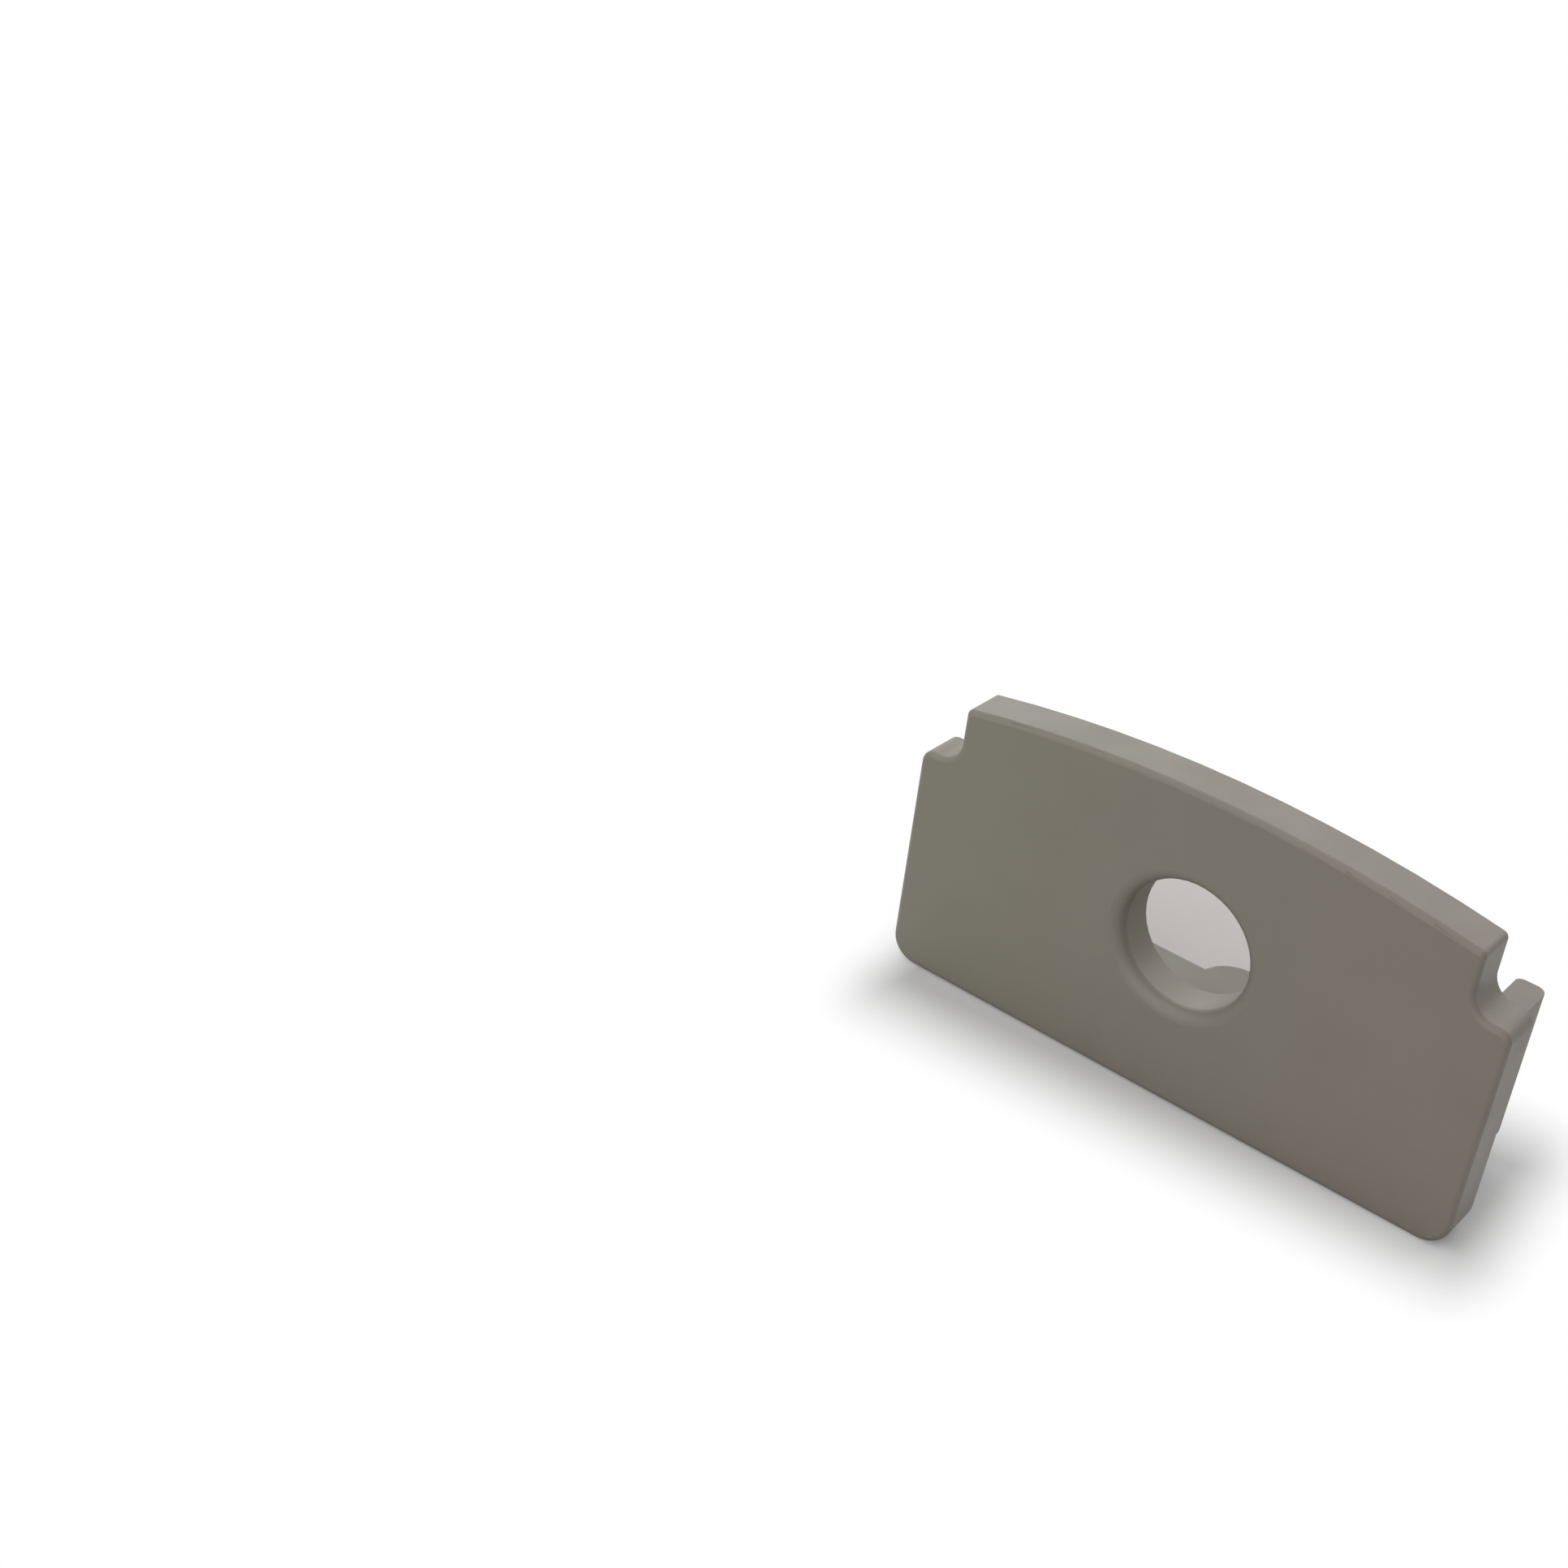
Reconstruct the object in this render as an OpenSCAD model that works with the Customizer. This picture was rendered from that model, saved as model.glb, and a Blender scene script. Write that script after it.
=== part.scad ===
// End cap for a low channel profile with a domed cover, moulded in one piece.
// The plate closes the profile's end, the U-shaped plug behind it grips the channel,
// and the round hole lets the cable out. Millimetres. The profile's end lies in the
// plane Y = 0 with its base at Z = 0, and the front face looks along -Y.

/* [Plate] */
// Width between the two straight sides
plate_w = 17; // [15:0.1:24]
// Thickness of the plate
plate_t = 1.3; // [0.9:0.05:2.4]
// Height of the arched top at its middle
crown_h = 9.02; // [8.6:0.02:12]
// How much lower the arched top is where it meets the notches
crown_drop = 0.7; // [0.3:0.02:1.4]
// Radius of the two lower corners
base_r = 0.75; // [0.3:0.05:1.2]

/* [Notches] */
// Width of each notch, from the straight side to its upright wall
notch_w = 1.15; // [1.1:0.05:2]
// Height of each notch, from the end of the arched top down to the shoulder
notch_h = 1.7; // [1.2:0.02:2.2]
// Radius of the hollow at the foot of the notch's upright wall
notch_r = 0.65; // [0.3:0.05:0.75]
// Radius of the corner between the upright wall and the arched top
peak_r = 0.2; // [0.2:0.02:0.4]
// Radius of the shoulder's outer corner
shoulder_r = 0.35; // [0.2:0.05:0.45]

/* [Cable hole] */
// Diameter of the hole
hole_d = 3.6; // [2:0.1:4.6]
// Height of the hole's centre above the base
hole_h = 4.6; // [4:0.1:5.6]
// Rounding of the hole's front rim
rim_r = 0.4; // [0.05:0.05:0.5]

/* [Plug] */
// Step from the plate's sides and base to the plug, where the profile's wall goes
plug_inset = 0.65; // [0.4:0.05:1]
// How far the plug reaches behind the plate
plug_depth = 2.95; // [1.5:0.05:6]
// Thickness of the plug's walls
plug_wall = 0.8; // [0.7:0.05:1.1]
// How far below the shoulders the plug's arms end
plug_drop = 1.15; // [0.4:0.05:2]
// Radius of the plug's lower corners on the outside
plug_corner_r = 0.6; // [0.4:0.05:1]
// Radius of the plug's lower corners on the inside
plug_fillet_r = 0.3; // [0.2:0.05:0.6]
// Rounding that leads the plug's outer edges into the channel
lead_r = 0.3; // [0.05:0.05:0.35]
// Rounding of the plug's inner edges
lip_r = 0.2; // [0.05:0.05:0.3]
// Radius of the half-round tab in the middle of the plug's lower wall
tab_r = 1.1; // [0.6:0.1:2]
// How far the tab reaches past the plug's free edge
tab_reach = 0.85; // [0.2:0.05:1.1]

/* [Edges] */
// Rounding of the edges all round the front face
edge_r = 0.18; // [0.05:0.01:0.19]

/* [Hidden] */

$fn = 96;
crown_fn = 720;
over = 0.1;     // how far cutting shapes stand clear of what they cut
grip = 0.2;     // how deep the plug is rooted in the plate
cross = 0.002;  // how far a rounding's arc stands proud, so that it crosses a face and doesn't graze it

half_w = plate_w / 2;
wall_x = half_w - notch_w;
peak_h = crown_h - crown_drop;
shoulder_h = peak_h - notch_h;

// The arched top is one arc through its middle and the two notch corners
crown_r = (wall_x * wall_x + crown_drop * crown_drop) / (2 * crown_drop);
crown_c = [0, crown_h - crown_r];

// Centre of the small corner arc between the upright wall and the arched top
peak_x = wall_x - peak_r + cross;
peak_gap = crown_r - peak_r + cross;
peak_c = [peak_x, crown_c.y + sqrt(peak_gap * peak_gap - peak_x * peak_x)];
peak_a = acos(peak_x / peak_gap);

// Where the arched top, if it ran on, would be clear of the upright wall
crown_a = acos((wall_x + over) / crown_r);

base_c = [half_w - base_r, base_r];
notch_c = [wall_x + notch_r, shoulder_h + notch_r];
shoulder_c = [half_w - shoulder_r, shoulder_h - shoulder_r];

hole_r = hole_d / 2;
hole_c = [0, hole_h];

plug_x = half_w - plug_inset;
plug_top = shoulder_h - plug_drop;
cavity_x = plug_x - plug_wall;
cavity_floor = plug_inset + plug_wall;

// Everything is drawn lying on the profile's end, front face up, and stood up at the end

// What is left outside a round corner of radius r, with the corner's centre at the origin
module spandrel(r) {
    difference() {
        square(r + over);
        circle(r);
    }
}

// Section that rounds an edge at the origin, for a body that lies down and to the left
module edge_section(r) {
    translate([cross - r, cross - r])
        spandrel(r);
}

// Rounds the upper edge along a straight side that runs from a to b, body on the left
module round_line(a, b, r) {
    way = b - a;
    translate([b.x, b.y, 0])
        rotate([90, 0, atan2(way.y, way.x) - 90])
            linear_extrude(norm(way))
                edge_section(r);
}

// Rounds the upper edge along an arc; a hollow arc has the body outside it
module round_arc(centre, radius, from, to, r, hollow = false) {
    translate([centre.x, centre.y, 0])
        rotate([0, 0, from])
            rotate_extrude(angle = to - from)
                translate([radius, 0])
                    mirror([hollow ? 1 : 0, 0])
                        edge_section(r);
}

module both_sides() {
    children();
    mirror([1, 0, 0])
        children();
}

module base_block() {
    translate([-half_w, base_r])
        square([plate_w, crown_h]);
    translate([-base_c.x, 0])
        square([2 * base_c.x, 2 * base_r]);
    both_sides()
        translate(base_c)
            circle(base_r);
}

module notch_cut() {
    difference() {
        translate([wall_x, shoulder_h])
            square([notch_w + over, crown_h]);
        translate(notch_c)
            rotate(180)
                intersection() {
                    spandrel(notch_r);
                    square(notch_r);
                }
    }
}

// Takes the corner off between the directions of the two faces that its arc touches
module peak_cut() {
    reach = 2 * peak_r;
    translate(peak_c)
        difference() {
            polygon([[0, 0], [reach, 0], [reach, reach], [reach / tan(peak_a), reach]]);
            circle(peak_r);
        }
}

module plate_outline() {
    difference() {
        intersection() {
            base_block();
            translate(crown_c)
                circle(crown_r, $fn = crown_fn);
        }
        both_sides() {
            notch_cut();
            peak_cut();
            translate(shoulder_c)
                spandrel(shoulder_r);
        }
    }
}

// The rounding follows the whole outline, through the notches and over the arched top
module front_edges() {
    both_sides() {
        round_arc(base_c, base_r, -90, 0, edge_r);
        round_line([half_w, base_c.y], [half_w, shoulder_c.y], edge_r);
        round_arc(shoulder_c, shoulder_r, 0, 90, edge_r);
        round_line([shoulder_c.x, shoulder_h], [notch_c.x, shoulder_h], edge_r);
        round_arc(notch_c, notch_r, 180, 270, edge_r, hollow = true);
        round_line([wall_x, notch_c.y], [wall_x, crown_h + over], edge_r);
        round_arc(peak_c, peak_r, 0, peak_a, edge_r);
    }
    round_line([-base_c.x, 0], [base_c.x, 0], edge_r);
    round_arc(crown_c, crown_r, crown_a, 180 - crown_a, edge_r, $fn = crown_fn);
}

module cable_hole() {
    translate([hole_c.x, hole_c.y, -over])
        cylinder(r = hole_r, h = plate_t + 2 * over);
}

module plate() {
    difference() {
        linear_extrude(plate_t)
            plate_outline();
        cable_hole();
        translate([0, 0, plate_t]) {
            front_edges();
            round_arc(hole_c, hole_r, 0, 360, rim_r, hollow = true);
        }
    }
}

// A block with its lower corners rounded, open to any height
module channel_shape(x, floor, r, top) {
    translate([-x, floor + r])
        square([2 * x, top - floor - r]);
    translate([r - x, floor])
        square([2 * (x - r), 2 * r]);
    both_sides()
        translate([x - r, floor + r])
            circle(r);
}

module plug_section() {
    difference() {
        channel_shape(plug_x, plug_inset, plug_corner_r, plug_top);
        channel_shape(cavity_x, cavity_floor, plug_fillet_r, plug_top + over);
    }
}

// Drawn with the free edge up, as the front face is, and turned over by the plug
module plug_edges() {
    outer_y = plug_inset + plug_corner_r;
    inner_y = cavity_floor + plug_fillet_r;
    both_sides() {
        round_arc([plug_x - plug_corner_r, outer_y], plug_corner_r, -90, 0, lead_r);
        round_line([plug_x, outer_y], [plug_x, plug_top + over], lead_r);
        round_line([cavity_x, plug_top + over], [cavity_x, inner_y], lip_r);
        round_arc([cavity_x - plug_fillet_r, inner_y], plug_fillet_r, -90, 0, lip_r, hollow = true);
    }
    round_line([plug_corner_r - plug_x, plug_inset], [plug_x - plug_corner_r, plug_inset], lead_r);
    round_line([cavity_x - plug_fillet_r, cavity_floor], [plug_fillet_r - cavity_x, cavity_floor], lip_r);
}

// A disc with soft rims, half of it inside the lower wall
module tab() {
    translate([0, plug_inset, tab_reach - tab_r])
        rotate([-90, 0, 0])
            rotate_extrude()
                difference() {
                    square([tab_r, plug_wall]);
                    translate([tab_r, plug_wall])
                        edge_section(lip_r);
                    translate([tab_r, 0])
                        mirror([0, 1])
                            edge_section(lip_r);
                }
}

module plug() {
    translate([0, 0, -plug_depth])
        mirror([0, 0, 1]) {
            difference() {
                translate([0, 0, -plug_depth - grip])
                    linear_extrude(plug_depth + grip)
                        plug_section();
                plug_edges();
            }
            tab();
        }
}

module end_cap() {
    color("#7f7c71")
        rotate([90, 0, 0])
            union() {
                plate();
                plug();
            }
}

end_cap();
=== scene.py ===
# Profile end cap on a white table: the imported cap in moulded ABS, the studio and the camera
import math

import bmesh
import bpy
from mathutils import Euler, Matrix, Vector

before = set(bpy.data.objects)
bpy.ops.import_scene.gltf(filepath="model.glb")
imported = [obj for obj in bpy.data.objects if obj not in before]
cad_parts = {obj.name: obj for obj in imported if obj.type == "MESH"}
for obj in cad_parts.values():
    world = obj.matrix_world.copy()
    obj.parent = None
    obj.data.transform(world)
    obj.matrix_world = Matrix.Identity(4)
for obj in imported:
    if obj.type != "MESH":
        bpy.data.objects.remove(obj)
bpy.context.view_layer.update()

mm = 0.001
print("cap loaded")

# A Mix node's sockets for colours, by number because those for plain numbers share their names
mixShare, mixFirst, mixSecond, mixResult = 0, 6, 7, 2


def hexToLinear(hexColour):
    # sRGB hex to the linear colour that shader sockets take
    channels = [int(hexColour[i:i + 2], 16) / 255 for i in (1, 3, 5)]
    linear = [c / 12.92 if c <= 0.04045 else ((c + 0.055) / 1.055) ** 2.4 for c in channels]
    return linear + [1.0]


def addNode(tree, kind, settings=None, inputs=None):
    # an input's value is a number or colour, or the output socket that feeds it
    node = tree.nodes.new(kind)
    for name, value in (settings or {}).items():
        setattr(node, name, value)
    for name, value in (inputs or {}).items():
        if isinstance(value, bpy.types.NodeSocket):
            tree.links.new(value, node.inputs[name])
        else:
            node.inputs[name].default_value = value
    return node


def newMaterial(name):
    material = bpy.data.materials.new(name)
    material.use_nodes = True
    material.node_tree.nodes.clear()
    return material


def placeInMm(tree):
    # where a point is on its object, so that pattern sizes can be given in mm
    place = addNode(tree, "ShaderNodeTexCoord").outputs["Object"]
    return addNode(tree, "ShaderNodeMapping", {}, {
        "Vector": place,
        "Scale": [1 / mm] * 3,
    }).outputs["Vector"]


# Moulded ABS, grey, from a spark-eroded tool: an even satin face with a very fine grain,
# which the light over it turns pale on top and leaves mid grey in front
absLook = {
    "cool": "#7e7b6d",          # near one end of the plate
    "warm": "#7a7268",          # near the other end
    "driftLength": 17,          # mm over which one tone turns to the other
    "mottleSize": 1.6,          # mm, soft flow marks in the melt
    "mottleDetail": 3,
    "mottleDepth": 0.05,        # share by which they lighten and darken the tone
    "smudgeSize": 2.4,          # mm, between the shinier and the duller patches
    "smudgeDetail": 4,
    "smudgeRange": (0.3, 0.7),  # part of the pattern that runs from shiny to dull
    "roughness": (0.42, 0.56),  # shiny and dull
    "grainSize": 0.09,          # mm; the tool's own grain is about 0.03 and would not show
    "grainDetail": 2,
    "grainHeight": 0.0016,      # mm
    "ior": 1.54,
}


def mouldedAbs():
    look = absLook
    material = newMaterial("moulded ABS")
    tree = material.node_tree
    inMm = placeInMm(tree)

    across = addNode(tree, "ShaderNodeSeparateXYZ", {}, {"Vector": inMm}).outputs["X"]
    drift = addNode(tree, "ShaderNodeMapRange", {}, {
        "Value": across,
        "From Min": -look["driftLength"] / 2,
        "From Max": look["driftLength"] / 2,
    }).outputs["Result"]
    tone = addNode(tree, "ShaderNodeMix", {"data_type": "RGBA"}, {
        mixShare: drift,
        mixFirst: hexToLinear(look["cool"]),
        mixSecond: hexToLinear(look["warm"]),
    }).outputs[mixResult]

    noise = {}
    for name in ("mottle", "smudge", "grain"):
        noise[name] = addNode(tree, "ShaderNodeTexNoise", {}, {
            "Vector": inMm,
            "Scale": 1 / look[name + "Size"],
            "Detail": look[name + "Detail"],
        }).outputs["Fac"]

    depth = addNode(tree, "ShaderNodeMapRange", {}, {
        "Value": noise["mottle"],
        "To Min": 1 - look["mottleDepth"],
        "To Max": 1 + look["mottleDepth"],
    }).outputs["Result"]
    colour = addNode(tree, "ShaderNodeVectorMath", {"operation": "SCALE"}, {
        0: tone,
        "Scale": depth,
    }).outputs["Vector"]

    smudgeFrom, smudgeTo = look["smudgeRange"]
    shiny, dull = look["roughness"]
    roughness = addNode(tree, "ShaderNodeMapRange", {}, {
        "Value": noise["smudge"],
        "From Min": smudgeFrom,
        "From Max": smudgeTo,
        "To Min": shiny,
        "To Max": dull,
    }).outputs["Result"]

    bump = addNode(tree, "ShaderNodeBump", {}, {
        "Height": noise["grain"],
        "Strength": 1.0,
        "Distance": look["grainHeight"] * mm,
    }).outputs["Normal"]

    surface = addNode(tree, "ShaderNodeBsdfPrincipled", {}, {
        "Base Color": colour,
        "Roughness": roughness,
        "Normal": bump,
        "IOR": look["ior"],
    }).outputs["BSDF"]
    addNode(tree, "ShaderNodeOutputMaterial", {}, {"Surface": surface})
    return material


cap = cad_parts["end_cap"]
capMaterial = mouldedAbs()
for slot in cap.material_slots:
    slot.material = capMaterial
print("cap dressed in moulded ABS")


# The table is plain matt board. The cap's shade lies on it close by, and further off it is lost
# in white. Each box is a middle, a half size and a reach: how far past the box a change goes on
tableLook = {
    "side": 900,                # mm
    "colour": "#d7d7d7",
    "behindHole": "#dcd5d2",    # painted light: a warm tint there that stands in for light bounced off the cap
    "bounce": "#e6e6e6",        # what it gives back to the cap
    "shade": [                  # mm, boxes that keep the shade: round the cap and behind its hole
        ((0.5, 0.6, 0), (8.05, 2.0, 1), (2.1, 3.6, 1)),
        ((-2.9, 5.6, 0), (2.4, 3.2, 1), (5, 4.5, 1)),
    ],
    "slant": -4.5,              # degrees that these boxes are turned about Z
    "softStart": -0.25,         # share of the reach at which the white begins
    "footColour": "#101010",    # painted shade: near-black bounce under the cap, keeps its rounded lower edge dark
    "foot": ((0, 1.25, 0), (8.5, 2.55, 1), (0.35, 0.35, 1)),    # mm, box over the cap's footprint where the painted shade lies
}


def stepsFromBox(tree, inMm, middle, halfSize, reach):
    # how far a point is from a box, in reaches
    steps = inMm
    for operation, by in (
        ("SUBTRACT", middle),
        ("ABSOLUTE", None),
        ("SUBTRACT", halfSize),
        ("MAXIMUM", (0, 0, 0)),
        ("DIVIDE", reach),
        ("LENGTH", None),
    ):
        inputs = {0: steps}
        if by:
            inputs[1] = by
        node = addNode(tree, "ShaderNodeVectorMath", {"operation": operation}, inputs)
        steps = node.outputs["Value" if operation == "LENGTH" else "Vector"]
    return steps


def seenStraight(tree):
    # 1 for what the eye sees, straight, in gloss or through glass, and 0 for light that bounces
    path = addNode(tree, "ShaderNodeLightPath").outputs
    seen = path["Is Camera Ray"]
    for ray in ("Is Glossy Ray", "Is Transmission Ray"):
        seen = addNode(tree, "ShaderNodeMath", {"operation": "MAXIMUM"}, {
            0: seen,
            1: path[ray],
        }).outputs["Value"]
    return seen


def whiteBoard():
    look = tableLook
    material = newMaterial("matt white board")
    tree = material.node_tree
    inMm = placeInMm(tree)
    slanted = addNode(tree, "ShaderNodeMapping", {}, {
        "Vector": inMm,
        "Rotation": (0, 0, math.radians(look["slant"])),
    }).outputs["Vector"]
    roundCap, behindHole = [stepsFromBox(tree, slanted, *box) for box in look["shade"]]
    steps = addNode(tree, "ShaderNodeMath", {"operation": "MINIMUM"}, {
        0: roundCap,
        1: behindHole,
    }).outputs["Value"]
    faded = addNode(tree, "ShaderNodeMapRange", {"interpolation_type": "SMOOTHSTEP"}, {
        "Value": steps,
        "From Min": look["softStart"],
        "From Max": 1.0,
    }).outputs["Result"]

    # painted light: behind the hole the board takes a warm tint that stands in for light bounced
    # off the cap
    paintedBounceTinted = addNode(tree, "ShaderNodeMix", {"data_type": "RGBA"}, {
        mixShare: behindHole,
        mixFirst: hexToLinear(look["behindHole"]),
        mixSecond: hexToLinear(look["colour"]),
    }).outputs[mixResult]
    # painted shade: the light the board bounces back turns near-black under the cap's foot, so
    # the cap's rounded lower edge stays dark
    bounce = addNode(tree, "ShaderNodeMix", {"data_type": "RGBA"}, {
        mixShare: stepsFromBox(tree, inMm, *look["foot"]),
        mixFirst: hexToLinear(look["footColour"]),
        mixSecond: hexToLinear(look["bounce"]),
    }).outputs[mixResult]

    seen = seenStraight(tree)
    colour = addNode(tree, "ShaderNodeMix", {"data_type": "RGBA"}, {
        mixShare: seen,
        mixFirst: bounce,
        mixSecond: paintedBounceTinted,
    }).outputs[mixResult]
    whiteness = addNode(tree, "ShaderNodeMath", {"operation": "MULTIPLY"}, {
        0: seen,
        1: faded,
    }).outputs["Value"]
    board = addNode(tree, "ShaderNodeBsdfDiffuse", {}, {"Color": colour})
    white = addNode(tree, "ShaderNodeEmission", {}, {"Color": (1, 1, 1, 1), "Strength": 1.0})
    surface = addNode(tree, "ShaderNodeMixShader", {}, {
        0: whiteness,
        1: board.outputs["BSDF"],
        2: white.outputs["Emission"],
    }).outputs["Shader"]
    addNode(tree, "ShaderNodeOutputMaterial", {}, {"Surface": surface})
    return material


def layTable():
    sheet = bmesh.new()
    bmesh.ops.create_grid(sheet, x_segments=1, y_segments=1, size=tableLook["side"] / 2 * mm)
    mesh = bpy.data.meshes.new("table")
    sheet.to_mesh(mesh)
    sheet.free()
    mesh.materials.append(whiteBoard())
    table = bpy.data.objects.new("table", mesh)
    bpy.context.scene.collection.objects.link(table)


layTable()
print("table laid")


# Two wide soft lamps: the one in front keeps the plate mid grey, and the one behind makes the
# arched top pale and throws the shade forwards. Angles are in degrees, with azimuth 0 in front
# of the cap and 90 to its right
lightPlan = {
    "front": {"strength": 1.85, "angle": 90, "elevation": 43, "azimuth": -8},
    "behind": {"strength": 1.9, "angle": 90, "elevation": 41, "azimuth": 195},
}


def lightStage():
    world = bpy.data.worlds.new("white tent")
    world.use_nodes = True
    tree = world.node_tree
    tree.nodes.clear()
    white = addNode(tree, "ShaderNodeBackground", {}, {
        "Color": (1, 1, 1, 1),
        "Strength": seenStraight(tree),
    }).outputs["Background"]
    addNode(tree, "ShaderNodeOutputWorld", {}, {"Surface": white})
    bpy.context.scene.world = world

    for name, plan in lightPlan.items():
        lamp = bpy.data.lights.new(name, "SUN")
        lamp.energy = plan["strength"]
        lamp.angle = math.radians(plan["angle"])
        azimuth = math.radians(plan["azimuth"])
        elevation = math.radians(plan["elevation"])
        towards = Vector((
            math.sin(azimuth) * math.cos(elevation),
            -math.cos(azimuth) * math.cos(elevation),
            math.sin(elevation),
        ))
        sun = bpy.data.objects.new(name, lamp)
        sun.rotation_euler = towards.to_track_quat("Z", "Y").to_euler()
        bpy.context.scene.collection.objects.link(sun)


lightStage()
print("lights hung")


# The photograph's own place: above, to the right and close, turned a little on its side
cameraPlan = {
    "place": (20.874, -48.507, 38.304),     # mm
    "turn": (58.8414, -6.1165, 39.1983),    # degrees about X, Y and Z
    "lens": 55.354,                         # mm
    "sensor": 36,                           # mm
    "clip": (1, 10000),                     # mm
}


def placeCamera():
    plan = cameraPlan
    lens = bpy.data.cameras.new("camera")
    lens.lens = plan["lens"]
    lens.sensor_width = plan["sensor"]
    lens.clip_start = plan["clip"][0] * mm
    lens.clip_end = plan["clip"][1] * mm
    camera = bpy.data.objects.new("camera", lens)
    camera.location = Vector(plan["place"]) * mm
    camera.rotation_euler = Euler([math.radians(a) for a in plan["turn"]])
    bpy.context.scene.collection.objects.link(camera)
    bpy.context.scene.camera = camera


placeCamera()
bpy.context.scene.view_settings.view_transform = "Standard"
print("camera placed")
